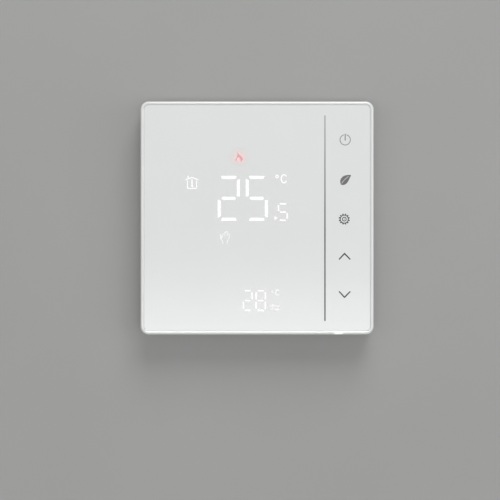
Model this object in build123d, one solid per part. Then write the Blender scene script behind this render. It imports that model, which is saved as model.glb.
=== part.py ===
"""Wall thermostat: a touch-panel front unit that latches onto a rear unit fixed to a wall box.

Millimetres. +Z is up, the front faces -Y, and the wall's surface is the plane y = 0, so whatever
has a positive y sits inside the wall box. The origin is the middle of the mounting plate's back.
"""
from build123d import *

import os

# Front unit: a square face with a thin rim around a panel set just below it
FACE = 86.0
FACE_CORNER = 3.0
RIM_FRONT = -12.5
RIM_WIDTH = 1.3
RIM_ROUNDING = 0.88
RIM_BEVEL = 0.4         # how far in it runs on the rim's inner edge, down to the panel
FRAME_BACK = -0.3
FRAME_WALL = 1.6
PANEL_FRONT = -12.25
PANEL_BACK = -10.25
PANEL_GAP = 0.05
DECK_FRONT = -10.0
DECK_BACK = -8.6
FILM_THICKNESS = 0.2
BOARD_FRONT = -6.3
BOARD_BACK = -4.9
COVER_FRONT = -3.4
COVER_BACK = -2.3
CAVITY = FACE - 2 * FRAME_WALL

# Rear unit: plate on the wall, housing through the plate's opening
PLATE = 71.0
PLATE_THICKNESS = 1.0
SLOT_PLACE = 30.0
SLOT_LENGTH = 7.2
SLOT_RADIUS = 2.1
BODY = 49.0
BODY_ROUND = 57.0
BODY_WALL = 1.6
BODY_BACK = 26.0
FLANGE = 51.6
FLANGE_FRONT = -2.0
LID_BACK = -0.5
POWER_FRONT = 2.5
POWER_BACK = 4.1
STEP_Z = -13.6
STEP_BACK = 18.0

# Touch keys: one column, evenly pitched, beside the display
KEY_X = 32.3
KEY_PITCH = 14.3
KEY_PLACES = [(KEY_X, (2 - i) * KEY_PITCH) for i in range(5)]
KEY_HOLE = 3.5

# Display figures: (x, z) of the centre, width, height, stroke
ROOM_DIGITS = [(-10.4, 7.25, 8.3, 16.7, 1.3), (0.0, 7.25, 8.3, 16.7, 1.3)]
TENTHS_DIGIT = [(9.5, 2.2, 3.7, 6.6, 0.75)]
SET_DIGITS = [(-3.5, -30.4, 3.8, 7.7, 0.75), (1.4, -30.4, 3.8, 7.7, 0.75)]
# Single lamps: (x, z) of the centre, length, height
LAMPS = [
    (6.8, 0.0, 1.2, 1.2),       # decimal point
    (7.2, 15.3, 1.8, 1.8),      # degree ring
    (10.0, 14.5, 2.6, 3.4),     # unit letter
    (-6.7, 22.5, 3.2, 3.4),     # flame
    (-24.0, 13.0, 4.8, 4.8),    # house
    (-12.0, -7.2, 3.8, 5.0),    # hand
    (6.9, -27.5, 3.4, 2.2),     # unit of the set temperature
    (6.6, -33.1, 3.8, 2.6),     # label of the set temperature
]
LIGHT_BOX = (-27.6, 13.6, -36.2, 25.6)      # low x, high x, low z, high z

# Fastenings of the front unit
CORNER_BOSS = 38.0
BOSS_SIZE = 6.6
PAD_PLACES = [(-34.0, 30.0), (-34.0, -30.0), (22.0, 33.0), (22.0, -33.0)]
STOP_PLACES = [(x, z) for x in (-32.0, 32.0) for z in (-20.0, 20.0)]
CLIP_X = 30.0
CLIP_WIDTH = 5.0
CLIP_SHEET = 0.4
CLIP_CREST = -4.5
RIB_FACE = 39.0

# Pin header and its socket
PIN_PITCH = 2.54
HEADER_Z = 8.0
PIN_PLACES = [((i - 2.5) * PIN_PITCH, HEADER_Z + j * PIN_PITCH) for i in range(6) for j in (-0.5, 0.5)]

# Fastenings of the rear unit
RIVET_PLACES = [(x, z) for x in (-23.5, 23.5) for z in (-23.5, 23.5)]
COLUMN_PLACES = [(-17.1, 17.1), (17.1, 17.1), (-19.2, -13.0), (19.2, -13.0)]
COLUMN_RADIUS = 2.4
LID_SCREW = 1.1

# Terminals: six poles, wires from below, screws driven from behind
POLES = 6
POLE_PITCH = 5.08
POLE_PLACES = [(i - (POLES - 1) / 2) * POLE_PITCH for i in range(POLES)]
BLOCK_Z = (-24.0, -13.8)
BLOCK_BACK = 18.1
CLAMP_Z = -20.0
BAR_Y = (10.6, 11.4)
CAGE_Y = (7.0, 13.0)
CAGE_HALF = 2.1
CAGE_WINDOW = 1.65      # half its width: the screw passes between the cage's sides
CLAMP_SCREW = 1.5
CLAMP_HEAD = 1.9
HEAD_FRONT = 15.7


def prism(sketch, near, far):
    """Stand a sketch in the X-Z plane and give it depth from y = near back to y = far."""
    return extrude(Plane.XZ.offset(-far) * sketch, amount=far - near)


def block(x, y, z):
    """A block from its (low, high) span along each axis."""
    middle = [(low + high) / 2 for low, high in (x, y, z)]
    return Pos(*middle) * Box(*(high - low for low, high in (x, y, z)))


def rod(place, radius, near, far):
    """A round bar along Y at an (x, z) place."""
    return prism(Pos(*place) * Circle(radius), near, far)


def turned(outline, place):
    """Turn a closed (radius, y) outline about Y and stand it at an (x, z) place."""
    face = make_face(Polyline(*outline, close=True))
    return Pos(place[0], 0, place[1]) * revolve(face, Axis.Y)


def each(shape, places):
    """A list of shapes, one made for each place."""
    return [shape(place) for place in places]


def save(name, solids):
    """Write one sub-part, made of one solid or of several like ones."""
    solids = solids if isinstance(solids, list) else [solids]
    pieces = [piece for solid in solids for piece in solid.solids()]
    export_step(pieces[0] if len(pieces) == 1 else Compound(children=pieces), f"parts/{name}.step")


def square(size, corner):
    return RectangleRounded(size, size, corner)


def round_body(inset=0.0):
    """The housing's outline: a square whose corners are cut by a circle, drawn in by an inset."""
    return Circle(BODY_ROUND / 2 - inset) & Rectangle(BODY - 2 * inset, BODY - 2 * inset)


def countersunk(place, head_y, tip_y, shank, head, head_depth):
    """A countersunk screw along +Y with a cross cut in its head."""
    screw = turned([(0, head_y), (head, head_y), (shank, head_y + head_depth), (shank, tip_y - 0.6),
                    (shank - 0.5, tip_y), (0, tip_y)], place)
    cross = Rectangle(head * 1.2, 0.5) + Rectangle(0.5, head * 1.2)
    return screw - prism(Pos(*place) * cross, head_y, head_y + head_depth * 0.6)


# Display layout

def figure_eight(x, z, width, height, stroke):
    """The seven bars of one digit: (x, z, turn, length, stroke) for each."""
    across, down = width - stroke, (height - stroke) / 2
    level = [(x, z + row * down, 0, across - 0.5, stroke) for row in (-1, 0, 1)]
    upright = [(x + side * across / 2, z + row * down / 2, 90, down - 0.5, stroke)
               for side in (-1, 1) for row in (-1, 1)]
    return level + upright


def segment_bar(length, stroke):
    """A bar with pointed ends, as in a segment display."""
    end, half = length / 2, stroke / 2
    return Polygon((end, 0), (end - half, half), (half - end, half), (-end, 0),
                   (half - end, -half), (end - half, -half), align=None)


DIGIT_BARS = [bar for digit in ROOM_DIGITS + TENTHS_DIGIT + SET_DIGITS for bar in figure_eight(*digit)]


def light_box_outline(margin=0.0):
    left, right, low, high = LIGHT_BOX
    return Pos((left + right) / 2, (low + high) / 2) * Rectangle(
        right - left + 2 * margin, high - low + 2 * margin)


# Front unit

def catch_rib(side):
    """The rib that a retaining clip snaps into, on the upper (1) or lower (-1) wall."""
    depth = CAVITY / 2 + 0.2 - RIB_FACE
    middle = side * (RIB_FACE + depth / 2)
    return [Pos(x, (DECK_BACK - 2.0) / 2, middle) * Box(6.0, -2.0 - DECK_BACK, depth)
            for x in (-CLIP_X, CLIP_X)]


def catch_groove(side):
    return [Pos(x, CLIP_CREST, side * RIB_FACE) * Box(6.4, 2.2, 1.6) for x in (-CLIP_X, CLIP_X)]


def front_frame():
    frame = prism(square(FACE, FACE_CORNER), RIM_FRONT, FRAME_BACK)
    frame = fillet(frame.faces().sort_by(Axis.Y)[0].edges(), RIM_ROUNDING)
    frame = fillet(frame.faces().sort_by(Axis.Y)[-1].edges(), 0.3)
    frame -= prism(square(FACE - 2 * RIM_WIDTH, FACE_CORNER - RIM_WIDTH), RIM_FRONT - 1, DECK_FRONT)
    front = frame.faces().sort_by(Axis.Y)[0]
    frame = chamfer(front.inner_wires()[0].edges(), RIM_BEVEL, PANEL_FRONT - RIM_FRONT, reference=front)
    frame -= prism(square(CAVITY, FACE_CORNER - FRAME_WALL), DECK_BACK, 1)

    boss = CAVITY / 2 + 0.2 - BOSS_SIZE / 2
    corners = [(x, z) for x in (-boss, boss) for z in (-boss, boss)]
    frame += each(lambda place: prism(Pos(*place) * Rectangle(BOSS_SIZE, BOSS_SIZE),
                                      DECK_BACK, COVER_FRONT), corners)
    frame += each(lambda place: rod(place, 1.8, DECK_BACK, BOARD_FRONT), PAD_PLACES)
    frame += catch_rib(1) + catch_rib(-1)

    frame -= prism(light_box_outline(0.3), DECK_FRONT - 1, DECK_BACK + 1)
    frame -= each(lambda place: rod(place, KEY_HOLE, DECK_FRONT - 1, DECK_BACK + 1), KEY_PLACES)
    frame -= each(lambda place: rod(place, 1.1, DECK_BACK, COVER_FRONT), cover_screw_places())
    frame -= catch_groove(1) + catch_groove(-1)

    # Vents in the upper and lower walls, and the release slot that reaches the lower right clip
    vent = Rot(90, 0, 0) * extrude(SlotOverall(4.6, 1.2, rotation=90), 4, both=True)
    vent = Rot(90, 0, 0) * vent
    frame -= [Pos((i - 5.5) * 4.0, -5.4, side * (FACE / 2)) * vent for i in range(12) for side in (-1, 1)]
    frame -= block((CLIP_X - 1.7, CLIP_X + 1.7), (CLIP_CREST - 0.6, CLIP_CREST + 0.6), (-FACE, -RIB_FACE))

    # Square tab in the lower rim's rounding, which marks where the release slot is
    return frame + block((CLIP_X - 1.65, CLIP_X + 1.65), (RIM_FRONT, RIM_FRONT + 1.0),
                         (0.2 - FACE / 2, RIM_WIDTH - RIM_BEVEL - FACE / 2))


def cover_screw_places():
    return [(x, z) for x in (-CORNER_BOSS, CORNER_BOSS) for z in (-CORNER_BOSS, CORNER_BOSS)]


def front_panel():
    size = FACE - 2 * (RIM_WIDTH + PANEL_GAP)
    panel = prism(square(size, FACE_CORNER - RIM_WIDTH - PANEL_GAP), PANEL_FRONT, PANEL_BACK)
    return fillet(panel.faces().sort_by(Axis.Y)[0].edges(), 0.05)


def panel_tape():
    size = FACE - 2 * (RIM_WIDTH + PANEL_GAP) - 1
    tape = prism(square(size, 1.0) - light_box_outline(0.6), PANEL_BACK, DECK_FRONT)
    return tape - each(lambda place: rod(place, KEY_HOLE, PANEL_BACK - 1, DECK_FRONT + 1), KEY_PLACES)


def diffuser_film():
    return prism(light_box_outline(0.2), PANEL_BACK, PANEL_BACK + FILM_THICKNESS)


def light_box():
    near = PANEL_BACK + FILM_THICKNESS
    wells = Sketch() + [Pos(x, z) * Rot(0, 0, turn) * segment_bar(length, stroke)
                        for x, z, turn, length, stroke in DIGIT_BARS]
    wells += [Pos(x, z) * Rectangle(length, height) for x, z, length, height in LAMPS]
    return prism(light_box_outline(), near, BOARD_FRONT) - prism(wells, near - 1, BOARD_FRONT + 1)


def display_leds():
    lamp = Box(1.0, 0.4, 0.5)
    bars = [(x, z, turn) for x, z, turn, _, _ in DIGIT_BARS] + [(x, z, 0) for x, z, _, _ in LAMPS]
    return [Pos(x, BOARD_FRONT - 0.2, z) * Rot(0, turn, 0) * lamp for x, z, turn in bars]


def display_board():
    width, height = 79.0, 75.0
    outline = Rectangle(width, height)
    outline -= [Pos(x, z) * Rectangle(2 * (width / 2 - 34.4), 2 * (height / 2 - 34.4))
                for x in (-width / 2, width / 2) for z in (-height / 2, height / 2)]
    return prism(outline, BOARD_FRONT, BOARD_BACK)


def touch_springs():
    """One coil behind each key, between the board and the panel."""
    wire, radius = 0.2, 2.6
    height = BOARD_FRONT - PANEL_BACK - 2 * wire
    path = Helix(pitch=height / 4, height=height, radius=radius)
    coil = sweep(Plane(path @ 0, z_dir=path % 0) * Circle(wire), path=path)
    return [Pos(x, BOARD_FRONT - wire, z) * Rot(90, 0, 0) * coil for x, z in KEY_PLACES]


def controller_chips():
    near, far = BOARD_BACK, BOARD_BACK + 1.1
    return [block((-14, -4), (near, far), (-12, -2)), block((4, 9), (near, far - 0.3), (-9, -4)),
            block((-28, -22), (near, far - 0.2), (12, 16)), block((14, 18), (near, far - 0.4), (14, 17)),
            block((16, 19), (near, far - 0.4), (-22, -18))]


def header_outline(clearance=0.0):
    return Pos(0, HEADER_Z) * Rectangle(6 * PIN_PITCH + clearance, 2 * PIN_PITCH + clearance)


def header_pins():
    return each(lambda place: prism(Pos(*place) * Rectangle(0.64, 0.64), BOARD_BACK, 1.9), PIN_PLACES)


def header_base():
    return prism(header_outline(), BOARD_BACK, COVER_BACK - 0.1) - header_pins()


def temperature_sensor():
    """A bead on two leads that reach down from the board's edge to the lower vents."""
    x, edge, bead_z = -22.0, -36.4, -39.2
    y = BOARD_FRONT - 0.25
    leads = [Pos(x + side * 0.5, y, (edge + bead_z) / 2) * Cylinder(0.22, edge - bead_z)
             for side in (-1, 1)]
    return Pos(x, y, bead_z) * Sphere(1.2) + leads


def back_cover():
    size = CAVITY - 0.6
    outline = square(size, FACE_CORNER - FRAME_WALL - 0.3) - header_outline(0.4)
    outline -= [Pos(*place) * RectangleRounded(10, 10, 1)
                for place in ((SLOT_PLACE, 0), (-SLOT_PLACE, 0), (0, SLOT_PLACE), (0, -SLOT_PLACE))]
    outline -= [Pos(x, z) * Rectangle(7.4, 8.0) for x in (-CLIP_X, CLIP_X) for z in (-size / 2, size / 2)]
    outline -= [Pos(x, -20) * SlotOverall(8, 1.4, rotation=90) for x in range(-12, 13, 4)]
    cover = prism(outline, COVER_FRONT, COVER_BACK)
    cover += each(lambda place: rod(place, 1.8, BOARD_BACK, COVER_FRONT), PAD_PLACES)
    cover += each(lambda place: rod(place, 1.6, COVER_BACK, -PLATE_THICKNESS - 0.05), STOP_PLACES)
    return cover - cover_screws(plain=True)


def cover_screws(plain=False):
    """Screws driven from behind, heads flush with the cover. Plain ones cut their own seats."""
    screws = []
    for place in cover_screw_places():
        outline = [(0, COVER_BACK), (2.1, COVER_BACK), (1.1, COVER_BACK - 1.0), (1.1, DECK_BACK + 1.2),
                   (0.7, DECK_BACK + 0.6), (0, DECK_BACK + 0.6)]
        screw = turned(outline, place)
        if not plain:
            cross = Rectangle(2.4, 0.5) + Rectangle(0.5, 2.4)
            screw -= prism(Pos(*place) * cross, COVER_BACK - 0.6, COVER_BACK)
        screws.append(screw)
    return screws


# Rear unit

def rivet(place):
    """A flush rivet: countersunk into the housing's flange and into the plate's back."""
    return turned([(0, FLANGE_FRONT), (1.9, FLANGE_FRONT), (1.2, FLANGE_FRONT + 0.5),
                   (1.2, -0.5), (1.9, 0), (0, 0)], place)


def mounting_plate():
    outline = square(PLATE, 2.0) - (Circle(BODY_ROUND / 2 + 0.3) & Rectangle(BODY + 0.6, BODY + 0.6))
    slot = SlotOverall(SLOT_LENGTH, 2 * SLOT_RADIUS)
    outline -= [Pos(x, 0) * slot for x in (-SLOT_PLACE, SLOT_PLACE)]
    outline -= [Pos(0, z) * Rot(0, 0, 90) * slot for z in (-SLOT_PLACE, SLOT_PLACE)]
    return prism(outline, -PLATE_THICKNESS, 0) - each(rivet, RIVET_PLACES)


def retaining_clips():
    """Leaf springs: a foot on the plate, an upright, and a crest that snaps into a catch rib."""
    foot, upright = -PLATE_THICKNESS - CLIP_SHEET / 2, 38.5
    path = Polyline((foot, 30.5), (foot, upright), (CLIP_CREST + 0.8, upright), (CLIP_CREST, upright + 0.8),
                    (CLIP_CREST - 0.8, upright), (CLIP_CREST - 2.1, upright - 0.2))
    strip = trace(path, line_width=CLIP_SHEET)
    clips = [extrude(Plane.YZ.offset(x - CLIP_WIDTH / 2) * strip, CLIP_WIDTH) for x in (-CLIP_X, CLIP_X)]
    return clips + [mirror(clip, Plane.XY) for clip in clips]


def rear_housing():
    body = prism(round_body(), -PLATE_THICKNESS, BODY_BACK)
    body -= block((-BODY, BODY), (STEP_BACK, BODY), (-BODY, STEP_Z))
    body += prism(square(FLANGE, 2.0), FLANGE_FRONT, -PLATE_THICKNESS)
    deep = prism(round_body(BODY_WALL), FLANGE_FRONT, BODY_BACK - BODY_WALL)
    deep -= block((-BODY, BODY), (STEP_BACK - BODY_WALL, BODY), (-BODY, STEP_Z + BODY_WALL))
    body -= deep
    body += each(lambda place: rod(place, COLUMN_RADIUS, POWER_BACK, STEP_BACK - BODY_WALL), COLUMN_PLACES)
    body += each(lambda place: rod(place, COLUMN_RADIUS, STEP_BACK - 2 * BODY_WALL, BODY_BACK - 1),
                 COLUMN_PLACES[:2])
    body -= each(lambda place: rod(place, LID_SCREW, POWER_BACK, 12), COLUMN_PLACES)

    # The terminal block shows through the floor of the step and the lower wall
    half = POLES * POLE_PITCH / 2 + 0.25
    body -= block((-half, half), (POWER_BACK - 0.1, STEP_BACK + 1), (-BODY, BLOCK_Z[1] + 0.15))

    # Vents in the back and the upper wall
    slot = SlotOverall(14, 1.6, rotation=90)
    body -= [prism(Pos(x, 5) * slot, BODY_BACK - 2 * BODY_WALL, BODY_BACK + 1) for x in range(-12, 13, 4)]
    return body - each(rivet, RIVET_PLACES)


def inner_cover():
    lid = prism(round_body(BODY_WALL + 0.15), FLANGE_FRONT, LID_BACK)
    lid += each(lambda place: rod(place, COLUMN_RADIUS, LID_BACK, POWER_FRONT), COLUMN_PLACES)
    lid -= prism(header_outline(1.4), FLANGE_FRONT, LID_BACK)
    lid -= each(lambda place: rod(place, LID_SCREW + 0.15, FLANGE_FRONT, POWER_FRONT), COLUMN_PLACES)
    return lid - each(lambda place: turned([(0, FLANGE_FRONT), (2.1, FLANGE_FRONT), (LID_SCREW, FLANGE_FRONT + 1.0),
                                            (0, FLANGE_FRONT + 1.0)], place), COLUMN_PLACES)


def lid_screws():
    return each(lambda place: countersunk(place, FLANGE_FRONT, 10.5, LID_SCREW, 2.1, 1.0), COLUMN_PLACES)


def power_board():
    board = prism(round_body(BODY_WALL + 0.4), POWER_FRONT, POWER_BACK)
    board -= each(lambda place: rod(place, LID_SCREW + 0.2, POWER_FRONT, POWER_BACK), COLUMN_PLACES)
    return board - [block((x - 0.6, x + 0.6), (POWER_FRONT, POWER_BACK), (-15.6, -14.5)) for x in POLE_PLACES]


def board_socket():
    socket = prism(header_outline(0.6), FLANGE_FRONT - 0.1, POWER_FRONT)
    return socket - each(lambda place: prism(Pos(*place) * Rectangle(0.84, 0.84), FLANGE_FRONT - 1, 2.0),
                         PIN_PLACES)


def relay():
    case = block((-21.6, -6.3), (POWER_BACK, 19.6), (-10.0, 9.0))
    return fillet(case.edges().filter_by(Axis.Y) + case.faces().sort_by(Axis.Y)[-1].edges(), 0.8)


# Transformer: a stack with two windows, a bobbin on its middle leg, and a winding on the bobbin
CORE_X, CORE_Y, CORE_Z = (-6.0, 14.0), (6.1, 21.1), (4.5, 14.5)
LEG_X = (0.5, 7.5)
WINDOW_Y = (8.6, 18.6)
WINDOWS_X = ((-3.0, 0.5), (7.5, 11.0))
COIL_Z = (1.6, 17.4)


def transformer_core():
    core = block(CORE_X, CORE_Y, CORE_Z)
    return core - [block(window, WINDOW_Y, CORE_Z) for window in WINDOWS_X]


def transformer_bobbin():
    leg = block(LEG_X, WINDOW_Y, CORE_Z)
    span = (WINDOWS_X[0][0], WINDOWS_X[1][1])
    flanges = [block(span, y, COIL_Z) - leg for y in ((8.6, 9.2), (18.0, 18.6))]
    tube = block((-0.3, 8.3), (9.2, 18.0), (3.7, 15.3)) - leg
    feet = [block(span, (POWER_BACK, 8.6), z) for z in ((COIL_Z[0], CORE_Z[0]), (CORE_Z[1], COIL_Z[1]))]
    return flanges[0] + flanges[1] + tube + feet + block(CORE_X, (POWER_BACK, CORE_Y[0]), COIL_Z)


def transformer_winding():
    coil = block((WINDOWS_X[0][0] + 0.3, WINDOWS_X[1][1] - 0.3), (9.2, 18.0), (COIL_Z[0] + 0.3, COIL_Z[1] - 0.3))
    coil = fillet(coil.edges().filter_by(Axis.Y), 1.5)
    return coil - block((-0.3, 8.3), (9.2, 18.0), (3.7, 15.3))


def filter_capacitor():
    case = block((2.0, 15.0), (POWER_BACK, 15.1), (-6.5, -1.5))
    return fillet(case.faces().sort_by(Axis.Y)[-1].edges(), 0.5)


def electrolytic_capacitors():
    """Cans on the board, each with a rolled groove near its foot."""
    cans = []
    for place, radius, top in (((-11.2, 14.4), 3.8, 16.0), ((18.5, -4.0), 3.0, 13.0)):
        foot = POWER_BACK
        cans.append(turned([(0, foot), (radius, foot), (radius, foot + 1.2), (radius - 0.4, foot + 1.5),
                            (radius, foot + 1.8), (radius, top - 0.4), (radius - 0.4, top), (0, top)], place))
    return cans


def varistor():
    disc = Pos(4.5, 8.9, -10.0) * Cylinder(3.5, 2.4)
    disc = fillet(disc.edges(), 0.8)
    return disc + [rod((4.5 + side * 2.0, -10.0), 0.3, POWER_BACK, 7.0) for side in (-1, 1)]


def fuse():
    body = Pos(12.5, 6.6, -10.2) * Rot(0, 90, 0) * Cylinder(1.8, 6.0)
    caps = [Pos(12.5 + side * 2.6, 6.6, -10.2) * Rot(0, 90, 0) * Cylinder(1.95, 1.4) for side in (-1, 1)]
    legs = [rod((12.5 + side * 2.6, -10.2), 0.35, POWER_BACK, 5.2) for side in (-1, 1)]
    return body + caps + legs


def power_chips():
    far = POWER_FRONT
    return [block((-16, -10), (far - 1.5, far), (-6, -1)), block((3, 7.5), (far - 1.6, far), (-8, -4)),
            block((10, 13), (far - 0.9, far), (14.5, 17)), block((-4, -1), (far - 0.9, far), (-12, -9.5))]


# Terminals

def terminal_block():
    half = POLES * POLE_PITCH / 2
    body = block((-half, half), (POWER_BACK, BLOCK_BACK), BLOCK_Z)
    for x in POLE_PLACES:
        body -= block((x - 2.2, x + 2.2), (6.4, 15.6), (-23.2, -16.4))
        body -= block((x - 1.6, x + 1.6), (7.9, 10.5), (BLOCK_Z[0], -23.2))
        body -= rod((x, CLAMP_Z), CLAMP_HEAD + 0.2, 15.6, BLOCK_BACK)
        body -= block((x - 1.4, x + 1.4), BAR_Y, (-16.4, -14.6))
        body -= block((x - 0.5, x + 0.5), (POWER_BACK, BAR_Y[0]), (-15.4, -14.6))
    return body


def terminal_contact(x):
    """A bar through the cage, and a tail that goes down through the board."""
    bar = block((x - 1.4, x + 1.4), BAR_Y, (-22.6, -14.6))
    return bar + block((x - 0.5, x + 0.5), (1.6, BAR_Y[0]), (-15.4, -14.6))


def terminal_screw(x):
    """A slotted clamp screw: its tip bears on the contact bar."""
    tip = BAR_Y[1] + 0.05
    screw = turned([(0, tip), (CLAMP_SCREW - 0.3, tip), (CLAMP_SCREW, tip + 0.3), (CLAMP_SCREW, HEAD_FRONT),
                    (CLAMP_HEAD, HEAD_FRONT), (CLAMP_HEAD, HEAD_FRONT + 1.6), (CLAMP_HEAD - 0.2, HEAD_FRONT + 1.8),
                    (0, HEAD_FRONT + 1.8)], (x, CLAMP_Z))
    return screw - block((x - 2, x + 2), (HEAD_FRONT + 0.9, BLOCK_BACK), (CLAMP_Z - 0.35, CLAMP_Z + 0.35))


def terminal_cage(x):
    """A frame around the contact bar, threaded on the screw: it rises and lifts the wire to the bar."""
    cage = block((x - CAGE_HALF, x + CAGE_HALF), CAGE_Y, (-22.4, -17.6))
    cage -= block((x - CAGE_WINDOW, x + CAGE_WINDOW), (CAGE_Y[0] + 0.8, CAGE_Y[1] - 1.1), (-23, -17))
    return cage - rod((x, CLAMP_Z), CLAMP_SCREW + 0.02, 11, 14)


def main():
    os.makedirs("parts", exist_ok=True)
    fixed = [front_frame, front_panel, panel_tape, diffuser_film, light_box, display_leds, display_board,
             touch_springs, controller_chips, header_base, header_pins, temperature_sensor, back_cover,
             cover_screws, mounting_plate, retaining_clips, rear_housing, inner_cover, lid_screws,
             power_board, board_socket, relay, transformer_core, transformer_bobbin, transformer_winding,
             filter_capacitor, electrolytic_capacitors, varistor, fuse, power_chips, terminal_block]
    for make in fixed:
        save(make.__name__, make())
    save("plate_rivets", each(rivet, RIVET_PLACES))
    save("terminal_contacts", each(terminal_contact, POLE_PLACES))
    for number, x in enumerate(POLE_PLACES, start=1):
        save(f"terminal_screw_{number}", terminal_screw(x))
        save(f"terminal_cage_{number}", terminal_cage(x))


main()
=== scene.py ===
"""Looks of the wall thermostat: finishes for the CAD pieces, the display, the printed keys and the studio.

Blender 4.5, metres, in the CAD model's own frame: +Z up, the front faces -Y, the wall is y = 0.
"""
import math

import bmesh
import bpy
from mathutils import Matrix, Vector


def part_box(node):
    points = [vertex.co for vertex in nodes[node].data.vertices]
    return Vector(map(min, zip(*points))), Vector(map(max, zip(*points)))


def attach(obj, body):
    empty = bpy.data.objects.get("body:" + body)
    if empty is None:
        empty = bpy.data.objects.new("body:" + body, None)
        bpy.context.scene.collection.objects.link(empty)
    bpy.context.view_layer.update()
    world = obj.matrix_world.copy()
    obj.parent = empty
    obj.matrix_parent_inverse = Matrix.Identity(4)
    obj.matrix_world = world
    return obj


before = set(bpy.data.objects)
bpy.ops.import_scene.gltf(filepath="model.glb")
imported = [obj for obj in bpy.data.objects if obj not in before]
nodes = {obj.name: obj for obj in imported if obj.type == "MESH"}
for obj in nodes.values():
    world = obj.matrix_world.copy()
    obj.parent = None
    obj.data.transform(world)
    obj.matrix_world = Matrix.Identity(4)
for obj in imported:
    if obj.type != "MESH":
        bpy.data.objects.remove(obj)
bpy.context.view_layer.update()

MM = 0.001
FACE_LOW, FACE_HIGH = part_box("front_frame")
PANEL_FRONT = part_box("front_panel")[0].y
FACE_MIDDLE = (FACE_LOW + FACE_HIGH) / 2
FLAME = (-6.70, 22.50)      # mm right of and above the frame's origin: the flame, and its lamp's red glow
GLOW_REACH = 5.0            # mm from the flame to where the glow ends


# ---------------------------------------------------------------- camera

VIEW_WIDTH = 184.15 * MM                # what the camera takes in at the face
VIEW_SHIFT = (-2.63 * MM, -11.8 * MM)   # the face sits a little right of and above the middle
LENS, SENSOR = 100.0, 36.0              # mm


def add_camera():
    """A camera square on to the face, as the photographer stood, and plain display colours."""
    data = bpy.data.cameras.new("camera")
    data.lens, data.sensor_width = LENS, SENSOR
    data.clip_start, data.clip_end = 0.01, 50
    camera = bpy.data.objects.new("camera", data)
    distance = VIEW_WIDTH * LENS / SENSOR
    camera.location = (FACE_MIDDLE.x + VIEW_SHIFT[0], FACE_LOW.y - distance, FACE_MIDDLE.z + VIEW_SHIFT[1])
    camera.rotation_euler = (math.radians(90), 0, 0)
    bpy.context.scene.collection.objects.link(camera)
    bpy.context.scene.camera = camera
    bpy.context.scene.view_settings.view_transform = "Standard"


# ---------------------------------------------------------------- finishes

def linear(*levels):
    """A display colour, 0 to 255, as the linear colour that a shader takes. One level gives a grey."""
    def one(level):
        c = level / 255
        return c / 12.92 if c <= 0.04045 else ((c + 0.055) / 1.055) ** 2.4
    levels = levels * 3 if len(levels) == 1 else levels
    return (*map(one, levels), 1.0)


def shade(colour, factor):
    """The colour, lighter or darker by a factor."""
    return (*(min(1.0, c * factor) for c in colour[:3]), 1.0)


MIX_A, MIX_B, MIX_RESULT = 6, 7, 2      # the sockets of a Mix node that carry colours
WAVE_RADIANS = 20           # what a wave texture's sine goes through in a metre, at scale 1


class Finish:
    """A Principled material with small helpers for the nodes that vary it."""

    def __init__(self, name, sockets=None):
        self.material = bpy.data.materials.new(name)
        self.material.use_nodes = True
        self.nodes = self.material.node_tree.nodes
        self.links = self.material.node_tree.links
        self.shader = self.nodes["Principled BSDF"]
        for socket, value in (sockets or {}).items():
            self.shader.inputs[socket].default_value = value
        self.place = self.add("TexCoord").outputs["Object"]

    def add(self, kind, **values):
        """A new shader node; a value goes to its input of that name, or else to its property."""
        node = self.nodes.new("ShaderNode" + kind)
        for key, value in values.items():
            if key in node.inputs:
                node.inputs[key].default_value = value
            else:
                setattr(node, key, value)
        return node

    def link(self, source, target):
        self.links.new(source, target)

    def stretched(self, scale):
        """Object coordinates scaled unevenly, for grain that runs one way."""
        mapping = self.add("Mapping")
        mapping.inputs["Scale"].default_value = scale
        self.link(self.place, mapping.inputs["Vector"])
        return mapping.outputs["Vector"]

    def noise(self, size_mm, detail=3.0, vector=None):
        """Soft grey noise, its patches about that large."""
        node = self.add("TexNoise", Scale=1 / (size_mm * MM), Detail=detail)
        self.link(vector or self.place, node.inputs["Vector"])
        return node.outputs["Fac"]

    def ramp(self, factor, *stops):
        """A colour ramp from (position, colour) stops."""
        node = self.add("ValToRGB")
        elements = node.color_ramp.elements
        while len(elements) < len(stops):
            elements.new(0.5)
        for element, (position, colour) in zip(elements, stops):
            element.position, element.color = position, colour
        self.link(factor, node.inputs["Fac"])
        return node.outputs["Color"]

    def range(self, factor, low, high):
        """A factor from 0 to 1, spread from low to high."""
        node = self.add("MapRange")
        node.inputs["To Min"].default_value, node.inputs["To Max"].default_value = low, high
        self.link(factor, node.inputs["Value"])
        return node.outputs["Result"]

    def multiply(self, first, second):
        """One colour times another."""
        node = self.add("Mix", data_type="RGBA", blend_type="MULTIPLY")
        node.inputs["Factor"].default_value = 1.0
        self.link(first, node.inputs[MIX_A])
        self.link(second, node.inputs[MIX_B])
        return node.outputs[MIX_RESULT]

    def colour(self, source):
        self.link(source, self.shader.inputs["Base Color"])

    def tone(self, colour, spread, size_mm):
        """The colour, a little lighter and darker in soft patches."""
        self.colour(self.ramp(self.noise(size_mm), (0.3, shade(colour, 1 - spread)),
                              (0.7, shade(colour, 1 + spread))))

    def rough(self, low, high, size_mm, vector=None):
        """Roughness that drifts from low to high in patches."""
        patches = self.noise(size_mm, vector=vector)
        self.link(self.range(patches, low, high), self.shader.inputs["Roughness"])

    def bump(self, height, depth_mm, strength):
        """A relief on top of any that the finish already has."""
        node = self.add("Bump", Strength=strength, Distance=depth_mm * MM)
        self.link(height, node.inputs["Height"])
        previous = self.shader.inputs["Normal"].links
        if previous:
            self.link(previous[0].from_socket, node.inputs["Normal"])
        self.link(node.outputs["Normal"], self.shader.inputs["Normal"])


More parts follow.
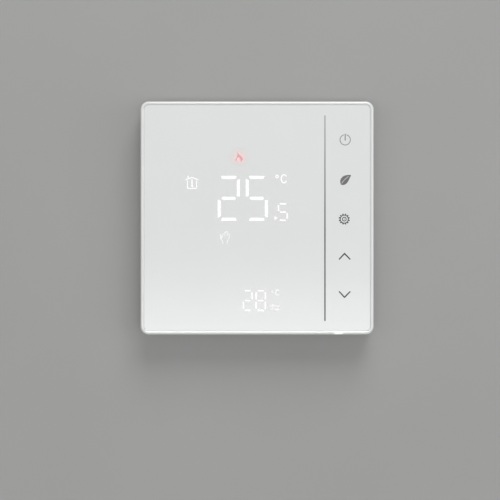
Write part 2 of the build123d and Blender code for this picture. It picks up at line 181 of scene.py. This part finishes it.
def moulded(name, colour, roughness, grain_mm, depth_mm, spread=0.02):
    """Moulded plastic: faint flow marks in the colour, and the fine skin that the mould leaves."""
    finish = Finish(name)
    finish.tone(colour, spread, 9)
    finish.rough(roughness - 0.05, roughness + 0.05, 2.5)
    finish.bump(finish.noise(grain_mm, detail=4), depth_mm, 0.6)
    return finish.material


def white_shell():
    """The front frame's polished moulding, glossier than the plastic behind it."""
    finish = Finish("white_shell", {"Specular IOR Level": 1.0})
    finish.tone(linear(225, 226, 225), 0.006, 9)
    finish.rough(0.08, 0.12, 2.5)
    finish.bump(finish.noise(0.35, detail=4), 0.002, 0.6)
    return finish.material


def brushed(name, colour, along, roughness):
    """Metal with fine lines along one axis: 0, 1 or 2 for X, Y or Z."""
    finish = Finish(name, {"Metallic": 1.0})
    scale = [1.0, 1.0, 1.0]
    scale[along] = 0.03
    lines = finish.stretched(scale)
    finish.tone(colour, 0.06, 5)
    finish.rough(roughness - 0.1, roughness + 0.12, 0.18, vector=lines)
    finish.bump(finish.noise(0.12, vector=lines), 0.006, 0.5)
    return finish.material


def zinc_plate():
    """Zinc-plated sheet: flat crystals of slightly different tone, with light rolling marks."""
    finish = Finish("zinc_plate", {"Metallic": 1.0})
    crystals = finish.add("TexVoronoi", Scale=1 / (3.2 * MM))
    finish.link(finish.place, crystals.inputs["Vector"])
    dull, bright = linear(178, 181, 184), linear(200, 203, 206)
    finish.colour(finish.ramp(crystals.outputs["Color"], (0.1, dull), (0.9, bright)))
    lines = finish.stretched((0.05, 1.0, 1.0))
    finish.rough(0.26, 0.46, 0.4, vector=lines)
    finish.bump(finish.noise(0.25, vector=lines), 0.006, 0.5)
    return finish.material


def touch_panel():
    """Acrylic painted on its back: a smooth white. The flame lamp's red light is painted on around the
    flame, as a pink tint in the colour and as a red emission.
    """
    finish = Finish("touch_panel", {"Emission Strength": 1.0})
    white = linear(224, 225, 225)
    from_flame = finish.add("Mapping")
    from_flame.inputs["Location"].default_value = (-FLAME[0] * MM, 0, -FLAME[1] * MM)
    finish.link(finish.place, from_flame.inputs["Vector"])
    flat = finish.add("VectorMath", operation="MULTIPLY")
    flat.inputs[1].default_value = (1, 0, 1)    # the distance is measured in the panel's plane
    finish.link(from_flame.outputs["Vector"], flat.inputs[0])
    distance = finish.add("VectorMath", operation="LENGTH")
    finish.link(flat.outputs[0], distance.inputs[0])
    reach = finish.add("MapRange", interpolation_type="SMOOTHSTEP")
    reach.inputs["From Max"].default_value = GLOW_REACH * MM
    finish.link(distance.outputs["Value"], reach.inputs["Value"])
    fade = reach.outputs["Result"]
    # Painted light: the lamp's red glow, as a pink tint in the base colour and a red emission, both fading
    # out by GLOW_REACH
    red_glow_tint = finish.ramp(fade, (0.0, (1.0, 0.89, 0.89, 1)), (1.0, (1, 1, 1, 1)))
    glow = finish.ramp(fade, (0.0, (0.13, 0.02, 0.02, 1)), (0.7, (0, 0, 0, 1)))
    clouds = finish.ramp(finish.noise(14), (0.3, shade(white, 0.994)), (0.7, shade(white, 1.006)))
    finish.colour(finish.multiply(clouds, red_glow_tint))
    finish.link(glow, finish.shader.inputs["Emission Color"])
    finish.rough(0.12, 0.15, 6)
    finish.bump(finish.noise(6, detail=2), 0.002, 0.1)
    return finish.material


def circuit_board():
    """Green solder mask over bundles of copper tracks that turn at right angles."""
    finish = Finish("circuit_board")
    turned = finish.add("Mapping")
    turned.inputs["Rotation"].default_value = (math.radians(90), 0, 0)
    finish.link(finish.place, turned.inputs["Vector"])
    blocks = finish.add("TexVoronoi", voronoi_dimensions="2D", distance="CHEBYCHEV", Scale=1 / (11 * MM))
    finish.link(turned.outputs["Vector"], blocks.inputs["Vector"])
    pitch = 0.045               # half the spacing of two tracks, as a share of a block
    folded = finish.add("Math", operation="PINGPONG")
    folded.inputs[1].default_value = pitch
    finish.link(blocks.outputs["Distance"], folded.inputs[0])
    tracks = finish.add("MapRange")
    tracks.inputs["From Min"].default_value = 0.45 * pitch
    tracks.inputs["From Max"].default_value = 0.60 * pitch
    finish.link(folded.outputs[0], tracks.inputs["Value"])
    raised = tracks.outputs["Result"]
    finish.colour(finish.ramp(raised, (0.0, linear(20, 86, 50)), (1.0, linear(44, 118, 70))))
    finish.rough(0.24, 0.34, 1.5)
    finish.bump(raised, 0.03, 0.6)
    return finish.material


def banded(name, colour, axis, pitch_mm, depth_mm, metallic, roughness):
    """Layers or turns of wire stacked along one axis: 0, 1 or 2 for X, Y or Z. The grooves between them are
    painted darker and the crests lighter: painted shade and painted highlight.
    """
    finish = Finish(name, {"Metallic": metallic})
    scale = math.tau / WAVE_RADIANS / (pitch_mm * MM)
    bands = finish.add("TexWave", Scale=scale, bands_direction="XYZ"[axis])
    finish.link(finish.place, bands.inputs["Vector"])
    # Painted shade in the grooves between layers or turns, and painted highlight on their crests
    finish.colour(finish.ramp(bands.outputs["Fac"], (0.0, shade(colour, 0.45)), (0.5, colour),
                              (1.0, shade(colour, 1.15))))
    finish.rough(roughness - 0.06, roughness + 0.08, 1.0)
    finish.bump(bands.outputs["Fac"], depth_mm, 0.8)
    return finish.material


def glass_tube():
    """A clear tube with a faint haze."""
    finish = Finish("fuse_glass", {"Transmission Weight": 0.75, "IOR": 1.5})
    finish.tone(linear(226, 228, 222), 0.04, 1.5)
    finish.rough(0.05, 0.16, 1.0)
    return finish.material


def ink(name, low, high=None, bottom_mm=0, top_mm=1):
    """Matt screen ink, its tone running from low at the bottom to high at the top."""
    finish = Finish(name)
    high = high or low
    height = finish.add("SeparateXYZ")
    finish.link(finish.place, height.inputs[0])
    spread = finish.add("MapRange")
    spread.inputs["From Min"].default_value = bottom_mm * MM
    spread.inputs["From Max"].default_value = top_mm * MM
    finish.link(height.outputs["Z"], spread.inputs["Value"])
    tone = finish.ramp(spread.outputs["Result"], (0.0, linear(low)), (1.0, linear(high)))
    grain = finish.ramp(finish.noise(0.25), (0.35, (0.93, 0.93, 0.93, 1)), (0.65, (1, 1, 1, 1)))
    finish.colour(finish.multiply(tone, grain))
    finish.rough(0.42, 0.55, 0.6)
    return finish.material


def lit(name, colour, strength):
    """A lamp's light through the panel: even, with the film's faint grain."""
    finish = Finish(name, {"Base Color": (0, 0, 0, 1), "Specular IOR Level": 0.2,
                           "Emission Strength": strength})
    grain = finish.ramp(finish.noise(0.5), (0.3, shade(colour, 0.97)), (0.7, colour))
    finish.link(grain, finish.shader.inputs["Emission Color"])
    finish.rough(0.2, 0.3, 1.0)
    return finish.material


def dress(finishes):
    """Give each CAD node the finish listed for its name, or for its name without its number."""
    for name, node in nodes.items():
        key = name if name in finishes else name.rstrip("0123456789").rstrip("_")
        node.data.materials.clear()
        node.data.materials.append(finishes[key])


def dress_cad():
    """Give every CAD node the finish of the real piece."""
    inner_white = moulded("inner_plastic", linear(214, 216, 213), 0.5, 0.22, 0.012)
    housing = moulded("housing_plastic", linear(216, 217, 213), 0.52, 0.28, 0.02)
    board = circuit_board()
    chip = moulded("chip", linear(38, 38, 40), 0.5, 0.15, 0.008, spread=0.08)
    connector = moulded("connector", linear(34, 34, 36), 0.42, 0.2, 0.006, spread=0.08)
    spring = brushed("spring_steel", linear(190, 192, 194), 2, 0.25)
    screw = brushed("zinc_screw", linear(196, 198, 200), 1, 0.28)
    dress({
        "front_frame": white_shell(),
        "front_panel": touch_panel(),
        "panel_tape": moulded("tape", linear(226, 226, 220), 0.75, 0.12, 0.02),
        "diffuser_film": moulded("film", linear(238, 238, 238), 0.6, 0.3, 0.004),
        "light_box": moulded("light_box", linear(238, 238, 232), 0.6, 0.3, 0.01),
        "display_leds": moulded("led", linear(240, 234, 178), 0.25, 0.3, 0.003, spread=0.06),
        "display_board": board,
        "touch_springs": spring,
        "controller_chips": chip,
        "header_base": connector,
        "header_pins": brushed("gold_pin", linear(226, 190, 110), 1, 0.22),
        "temperature_sensor": moulded("bead", linear(46, 44, 46), 0.25, 0.5, 0.01, spread=0.1),
        "back_cover": inner_white,
        "cover_screws": screw,
        "mounting_plate": zinc_plate(),
        "plate_rivets": brushed("rivet", linear(206, 207, 208), 0, 0.3),
        "retaining_clips": brushed("clip_steel", linear(192, 194, 196), 0, 0.24),
        "rear_housing": housing,
        "inner_cover": inner_white,
        "lid_screws": screw,
        "power_board": board,
        "board_socket": connector,
        "relay": moulded("relay_case", linear(38, 84, 156), 0.3, 0.4, 0.004, spread=0.05),
        "transformer_core": banded("core_steel", linear(120, 122, 126), 2, 0.3143, 0.05, 0.9, 0.45),
        "transformer_bobbin": moulded("bobbin", linear(214, 202, 170), 0.45, 0.3, 0.008),
        "transformer_winding": banded("copper_wire", linear(196, 112, 62), 1, 0.1886, 0.1, 0.85, 0.3),
        "filter_capacitor": moulded("film_capacitor", linear(214, 176, 62), 0.32, 0.5, 0.006, spread=0.05),
        "electrolytic_capacitors": moulded("can_sleeve", linear(38, 44, 66), 0.3, 0.5, 0.004, spread=0.08),
        "varistor": moulded("varistor", linear(40, 92, 156), 0.36, 0.5, 0.012, spread=0.06),
        "fuse": glass_tube(),
        "power_chips": chip,
        "terminal_block": moulded("terminal_plastic", linear(66, 132, 92), 0.42, 0.3, 0.01, spread=0.04),
        "terminal_contacts": brushed("contact_brass", linear(214, 190, 130), 0, 0.3),
        "terminal_screw": screw,
        "terminal_cage": brushed("cage_steel", linear(196, 196, 192), 1, 0.3),
    })


def band(bm, first, second):
    """Faces all the way round between two closed lines with as many points."""
    for i in range(len(first)):
        bm.faces.new((first[i - 1], first[i], second[i], second[i - 1]))


def mesh_object(name, bm, material):
    """A new object in the scene, made from the bmesh."""
    mesh = bpy.data.meshes.new(name)
    bm.to_mesh(mesh)
    bm.free()
    mesh.materials.append(material)
    made = bpy.data.objects.new(name, mesh)
    bpy.context.scene.collection.objects.link(made)
    return made


# ---------------------------------------------------------------- outlines, in mm: x to the right, z up

def arc(middle, radius, start, end, steps):
    """Points on an arc, its angles in degrees counter-clockwise from the right."""
    angles = [math.radians(start + (end - start) * i / steps) for i in range(steps + 1)]
    return [(middle[0] + radius * math.cos(a), middle[1] + radius * math.sin(a)) for a in angles]


def circle(middle, radius, steps):
    """Points all the way round, without the first one again at the end."""
    return arc(middle, radius, 0, 360, steps)[:-1]


def moved(points, place):
    """Points given around a middle, put where that middle is."""
    return [(x + place[0], z + place[1]) for x, z in points]


def rounded(corners, radius, steps=5):
    """A closed outline with each corner eased by a short curve."""
    outline = []
    for i in range(len(corners)):
        before, corner, after = (Vector(corners[k % len(corners)]) for k in (i - 1, i, i + 1))
        reach = [min(radius, 0.45 * (other - corner).length) for other in (before, after)]
        start = corner + (before - corner).normalized() * reach[0]
        end = corner + (after - corner).normalized() * reach[1]
        for k in range(steps + 1):
            t = k / steps
            outline.append(tuple(start * (1 - t) ** 2 + corner * 2 * t * (1 - t) + end * t * t))
    return outline


def sides(points, width, closed):
    """The left and right edges of a line of that width, mitred at its corners."""
    points = [Vector(p) for p in points]
    left, right = [], []
    for i, point in enumerate(points):
        before = points[i - 1] if closed or i else None
        after = points[(i + 1) % len(points)] if closed or i < len(points) - 1 else None
        ways = [(b - a).normalized() for a, b in ((before, point), (point, after)) if a and b]
        way = sum(ways, Vector((0, 0))).normalized()
        normal = Vector((-way.y, way.x))
        reach = width / 2 / max(0.35, way.dot(ways[0]))
        left.append(tuple(point + normal * reach))
        right.append(tuple(point - normal * reach))
    return left, right


def stroke(points, width):
    """An open line with round ends, as an (outer, inner) pair with no inner outline."""
    left, right = sides(points, width, closed=False)
    ends = []
    for tip, other in ((points[-1], points[-2]), (points[0], points[1])):
        angle = math.degrees(math.atan2(tip[1] - other[1], tip[0] - other[0]))
        ends.append(arc(tip, width / 2, angle - 90, angle + 90, 8)[1:-1])
    return right + ends[0] + left[::-1] + ends[1], None


def loop(points, width):
    """A closed line, as an (outer, inner) pair."""
    left, right = sides(points, width, closed=True)
    return right, left


def dot(middle, radius):
    """A round spot, as an (outer, inner) pair with no inner outline."""
    return circle(middle, radius, 32), None


def curve(points, steps=6):
    """A smooth line through a few points."""
    points = [Vector(p) for p in points]
    points = [points[0], *points, points[-1]]
    line = []
    for a, b, c, d in zip(points, points[1:], points[2:], points[3:]):
        for k in range(steps):
            t = k / steps
            line.append(tuple(0.5 * (2 * b + (c - a) * t + (2 * a - 5 * b + 4 * c - d) * t * t
                                     + (3 * b - a - 3 * c + d) * t ** 3)))
    return line + [tuple(points[-1])]


# ---------------------------------------------------------------- figures on the panel

INK_THICKNESS = 0.02        # mm
LIFT = 0.002                # mm from one line of a figure to the next, so that no two share a plane


def figure(name, shapes, material, lift=0):
    """One printed or lit figure on the panel, from (outer, inner) outlines."""
    bm = bmesh.new()
    for order, (outer, inner) in enumerate(shapes, start=lift):
        front = PANEL_FRONT - (INK_THICKNESS + LIFT * order) * MM
        rings = [[[bm.verts.new((x * MM, y, z * MM)) for x, z in ring] for y in (front, PANEL_FRONT)]
                 for ring in (outer, inner) if ring]
        for ring in rings:
            band(bm, *ring)
        for level in (0, 1):
            if inner:
                band(bm, rings[0][level], rings[1][level])
            else:
                bm.faces.new(rings[0][level])
    bmesh.ops.recalc_face_normals(bm, faces=bm.faces)
    bmesh.ops.triangulate(bm, faces=[f for f in bm.faces if len(f.verts) > 4])
    piece = mesh_object(name, bm, material)
    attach(piece, "front_unit")


# The lit bars of a digit. a to g: top, upper right, lower right, bottom, lower left, upper left, middle
LIT_BARS = {"2": "abged", "5": "afgcd", "8": "abcdefg"}


def digit(value, middle, width, height, thick, gap):
    """The lit bars of one digit. Outer bars are longer on the outside; the middle one is pointed."""
    across, down = (width - thick) / 2, (height - thick) / 2
    half, slant, reach = thick / 2, 0.42 * thick, across - gap

    def level(z, outward):
        return [(-reach, z + outward * half), (reach, z + outward * half),
                (reach - slant, z - outward * half), (slant - reach, z - outward * half)]

    def upright(side, upward):
        outside, inside = side * (across + half), side * (across - half)
        outer_end, inner_end = upward * (down - gap), upward * gap
        return [(outside, inner_end), (outside, outer_end),
                (inside, outer_end - upward * slant), (inside, inner_end + upward * 0.3 * slant)]

    tip = reach - 0.2 * thick
    neck = tip - slant
    bars = {
        "a": level(down, 1), "d": level(-down, -1),
        "g": [(-tip, 0), (-neck, half), (neck, half), (tip, 0), (neck, -half), (-neck, -half)],
        "b": upright(1, 1), "c": upright(1, -1), "f": upright(-1, 1), "e": upright(-1, -1),
    }
    return [(rounded(moved(bars[bar], middle), 0.3 * thick), None) for bar in LIT_BARS[value]]


def unit_mark(letter, width, height, ring, radius, thick):
    """A degree ring and a round C, given by their middles."""
    curved = [(letter[0] + x * width, letter[1] + z * height) for x, z in arc((0, 0), 0.5, 42, 318, 32)]
    return [stroke(curved, thick), loop(circle(ring, radius, 28), 0.85 * thick)]


def add_display():
    """Everything that lamps light up behind the panel."""
    white = lit("lit_white", (1.0, 1.0, 1.0, 1.0), 1.04)
    faint = lit("lit_faint", linear(246, 247, 247), 1.0)
    red = lit("lit_red", linear(231, 171, 175), 1.0)
    pink = lit("lit_pink", linear(255, 216, 216), 1.0)

    large = {"width": 8.2, "height": 16.6, "thick": 1.15, "gap": 0.56}
    figure("room_tens", digit("2", (-10.44, 7.24), **large), white)
    figure("room_units", digit("5", (-0.13, 7.24), **large), white)
    figure("room_tenths", digit("5", (9.48, 2.19), 3.75, 6.6, 0.58, 0.30), white)
    figure("decimal_point", [dot((6.79, 0.0), 0.52)], white)
    figure("room_unit", unit_mark((9.92, 14.47), 2.15, 2.95, (7.30, 15.32), 0.46, 0.44), white)
    figure("set_tens", digit("2", (-3.48, -30.44), 3.7, 7.7, 0.50, 0.42), white)
    figure("set_units", digit("8", (1.31, -30.44), 3.9, 7.7, 0.50, 0.42), white)
    set_unit = unit_mark((7.49, -27.50), 1.45, 1.95, (5.62, -26.98), 0.30, 0.34)
    figure("set_unit", set_unit, faint)

    # Two sliders, each with its knob, stand for the label of the set temperature
    sliders = []
    for height, knob in ((-32.35, 5.75), (-33.65, 7.35)):
        sliders += [stroke([(4.75, height), (8.30, height)], 0.32), dot((knob, height), 0.55)]
    figure("set_label", sliders, faint)

    house = (-24.0, 13.0)
    roof = [(-2.25, 1.10), (0, 1.95), (2.25, 1.10)]
    walls = [(-1.69, 0.60), (-1.69, -1.75)] + arc((-1.34, -1.75), 0.35, 180, 270, 6)[1:] \
        + arc((1.34, -1.75), 0.35, 270, 360, 6) + [(1.69, 0.60)]
    chimney = [(-1.43, 1.6), (-1.43, 2.35)]
    thermometer = [(0, 1.0), (0, -1.1)]
    strokes = [stroke(moved(line, house), width) for line, width in
               ((roof, 0.36), (walls, 0.34), (chimney, 0.40), (thermometer, 0.46))]
    bulb = dot((house[0], house[1] - 1.15), 0.42)
    figure("house_icon", strokes + [bulb], white)

    hand = (-12.0, -7.2)
    thumb = curve([(-0.58, -2.30), (-0.80, -1.35), (-1.20, -0.50), (-1.62, 0.50), (-1.58, 0.90),
                   (-1.36, 0.78), (-1.10, 0.05), (-0.90, 0.05), (-0.72, 0.60)])
    edge = curve([(1.68, 1.15), (1.74, 0.15), (1.50, -0.60), (1.00, -1.25), (0.98, -2.10)])
    fingers = []
    for x, tip in ((-0.42, 1.05), (0.18, 1.70), (0.78, 2.00), (1.38, 1.15)):
        fingers.append([(x - 0.30, 0.55)] + arc((x, tip), 0.30, 180, 0, 10) + [(x + 0.30, 0.55)])
    figure("hand_icon", [stroke(moved(line, hand), 0.30) for line in (thumb, edge)]
           + [stroke(moved(line, hand), 0.20) for line in fingers], faint)

    flame = [(-0.58, 1.85), (-0.08, 1.05), (0.38, 0.55), (0.98, 0.05), (1.42, -0.60), (1.38, -1.10),
             (0.95, -1.60), (0.52, -1.70), (0.60, -1.15), (0.38, -0.70), (0.05, -0.20), (-0.30, 0.05),
             (-0.62, -0.40), (-0.95, -1.05), (-1.08, -1.58), (-1.42, -1.58), (-1.28, -0.95), (-0.95, -0.30),
             (-0.60, 0.35), (-0.50, 0.85)]
    figure("flame_icon", [(rounded(moved(flame, FLAME), 0.25), None)], red)
    heart = [(-0.30, -0.12), (0.05, -0.55), (0.25, -1.05), (-0.10, -1.45), (-0.58, -1.35), (-0.62, -0.80)]
    figure("flame_heart", [(rounded(moved(heart, FLAME), 0.3), None)], pink, lift=1)


# ---------------------------------------------------------------- printed keys and divider

KEY_PITCH = 14.3            # mm from one key to the next
KEY_X = 32.35
DIVIDER_X, DIVIDER_Z, DIVIDER_WIDTH = 24.98, (-37.75, 37.60), 0.50


def gear_outline(middle, root, tip, teeth):
    """A toothed wheel's outline, with square-shouldered teeth."""
    outline = []
    for i in range(teeth):
        for turn, radius in ((-0.30, root), (-0.22, tip), (0.22, tip), (0.30, root)):
            angle = math.tau * (i + 0.5 + turn) / teeth
            outline.append((middle[0] + radius * math.cos(angle), middle[1] + radius * math.sin(angle)))
    return outline


def add_keys():
    """The five printed touch keys and the divider beside them."""
    light, middle, dark = ink("key_ink_light", 142), ink("key_ink_middle", 106), ink("key_ink_dark", 36)
    power, leaf, gear, up, down = [(KEY_X, (2 - row) * KEY_PITCH) for row in range(5)]

    ring = arc((power[0] + 0.1, power[1] + 0.2), 1.90, 108, 432, 60)
    bar = [(power[0] + 0.1, power[1] + 2.25), (power[0] + 0.1, power[1] + 0.1)]
    figure("power_key", [stroke(ring, 0.31), stroke(bar, 0.43)], light)

    blade = curve([(-1.46, -2.02), (-1.76, -0.80), (-1.28, 0.45), (0.05, 1.38), (2.16, 1.52), (1.78, 0.50),
                   (1.30, -0.62), (0.45, -1.70), (-0.60, -2.16), (-1.46, -2.02)])
    figure("leaf_key", [(moved(blade[:-1], leaf), None)], middle)
    vein = curve([(-1.16, -1.52), (-0.35, -0.42), (1.25, 0.98)])
    figure("leaf_vein", [stroke(moved(vein, leaf), 0.20)], ink("key_ink_pale", 206), lift=2)

    hub = (gear[0] - 0.25, gear[1] - 0.42)
    teeth = gear_outline(hub, 1.58, 2.04, 12)
    hole = circle(hub, 1.32, len(teeth))
    bearing = loop(circle(hub, 0.70, 36), 0.30)
    figure("gear_key", [(teeth, hole), bearing, dot(hub, 0.16)], dark)

    for name, place, ends, point in (("up_key", up, -0.87, 1.20), ("down_key", down, 1.42, -0.62)):
        arrow = moved([(-2.05, ends), (-0.15, point), (1.85, ends)], place)
        figure(name, [stroke(arrow, 0.46)], dark)

    line = ink("divider_ink", 94, high=174, bottom_mm=-4, top_mm=DIVIDER_Z[1])
    figure("divider", [stroke([(DIVIDER_X, z) for z in DIVIDER_Z], DIVIDER_WIDTH)], line)


# ---------------------------------------------------------------- studio

WALL_LEVEL = 0.02 * MM      # just behind the plate's back
WALL_REACH = 600 * MM       # from the middle to each edge, as are the two openings
WALL_OPENING = 42.2 * MM    # hidden by the frame; it lets light reach the back when seen from behind
BOX_OPENING = 34.5 * MM     # hidden by the plate
ROOM_RADIUS = 4.0


def stage_material(name, colour, glow=0.0, one_sided=False):
    """A matt finish for the surroundings, lit from within or clear from its back side if so asked."""
    finish = Finish(name, {"Roughness": 0.9})
    finish.tone(colour, 0.015, 60)
    if glow:
        finish.shader.inputs["Emission Color"].default_value = colour
        finish.shader.inputs["Emission Strength"].default_value = glow
    if one_sided:
        side = finish.add("NewGeometry").outputs["Backfacing"]
        clear, mixed = finish.add("BsdfTransparent"), finish.add("MixShader")
        finish.link(side, mixed.inputs["Fac"])
        finish.link(finish.shader.outputs[0], mixed.inputs[1])
        finish.link(clear.outputs[0], mixed.inputs[2])
        finish.link(mixed.outputs[0], finish.nodes["Material Output"].inputs["Surface"])
    return finish.material


def wall_ring(name, outer, inner, paint):
    """The part of the wall's surface between two squares, given by how far they reach."""
    bm = bmesh.new()
    corners = ((-1, -1), (1, -1), (1, 1), (-1, 1))
    rings = [[bm.verts.new((x * reach, WALL_LEVEL, z * reach)) for x, z in corners]
             for reach in (outer, inner)]
    band(bm, *rings)
    return mesh_object(name, bm, paint)


def add_stage():
    """A pale wall around the thermostat, clear from behind, inside a round, softly glowing pale room."""
    paint = stage_material("wall_paint", linear(159, 159, 158), one_sided=True)
    wall = wall_ring("wall", WALL_REACH, WALL_OPENING, paint)
    margin = wall_ring("wall_margin", WALL_OPENING, BOX_OPENING, paint)
    margin.visible_shadow = False       # light still reaches the back through the wider opening

    bpy.ops.mesh.primitive_uv_sphere_add(segments=96, ring_count=48, radius=ROOM_RADIUS)
    room = bpy.context.object
    room.name = "room"
    room.data.materials.append(stage_material("room_cloth", linear(206, 207, 206), glow=0.165))
    for polygon in room.data.polygons:
        polygon.use_smooth = True


def add_light(name, right, up, distance, size, strength):
    """A softbox aimed at the face from so many degrees right and up of straight in front of it."""
    data = bpy.data.lights.new(name, "AREA")
    data.shape, data.size, data.size_y = "RECTANGLE", *size
    data.energy = strength * distance ** 2
    right, up = math.radians(right), math.radians(up)
    level = math.cos(up)
    place = distance * Vector((level * math.sin(right), -level * math.cos(right), math.sin(up)))
    lamp = bpy.data.objects.new(name, data)
    lamp.location = place
    lamp.rotation_euler = (-place).to_track_quat("-Z", "Y").to_euler()
    lamp.visible_camera = False
    bpy.context.scene.collection.objects.link(lamp)


def add_lights():
    """A high key light, fills, two low cards that the rim's lower edge mirrors, and light from behind."""
    add_light("key", 16, 53, 1.2, (0.70, 0.76), 5.45)
    add_light("left_fill", -35, 0, 2.2, (1.0, 1.0), 0.75)
    add_light("right_fill", 48, 0, 2.2, (1.6, 1.0), 1.1)
    add_light("low_fill", 0, -20, 1.4, (1.0, 0.5), 0.43)
    add_light("floor_fill", 0, -52, 1.6, (1.4, 1.0), 0.45)
    add_light("upper_card", 0, -7.9, 1.8, (1.2, 0.35), 1.05)
    add_light("lower_card", 0, -9.9, 1.8, (1.2, 0.35), 0.8)
    add_light("back", -145, 35, 1.9, (1.2, 1.2), 5.0)
    add_light("back_fill", 130, 5, 1.6, (1.0, 1.0), 2.0)


add_camera()
dress_cad()
add_display()
add_keys()
add_stage()
add_lights()
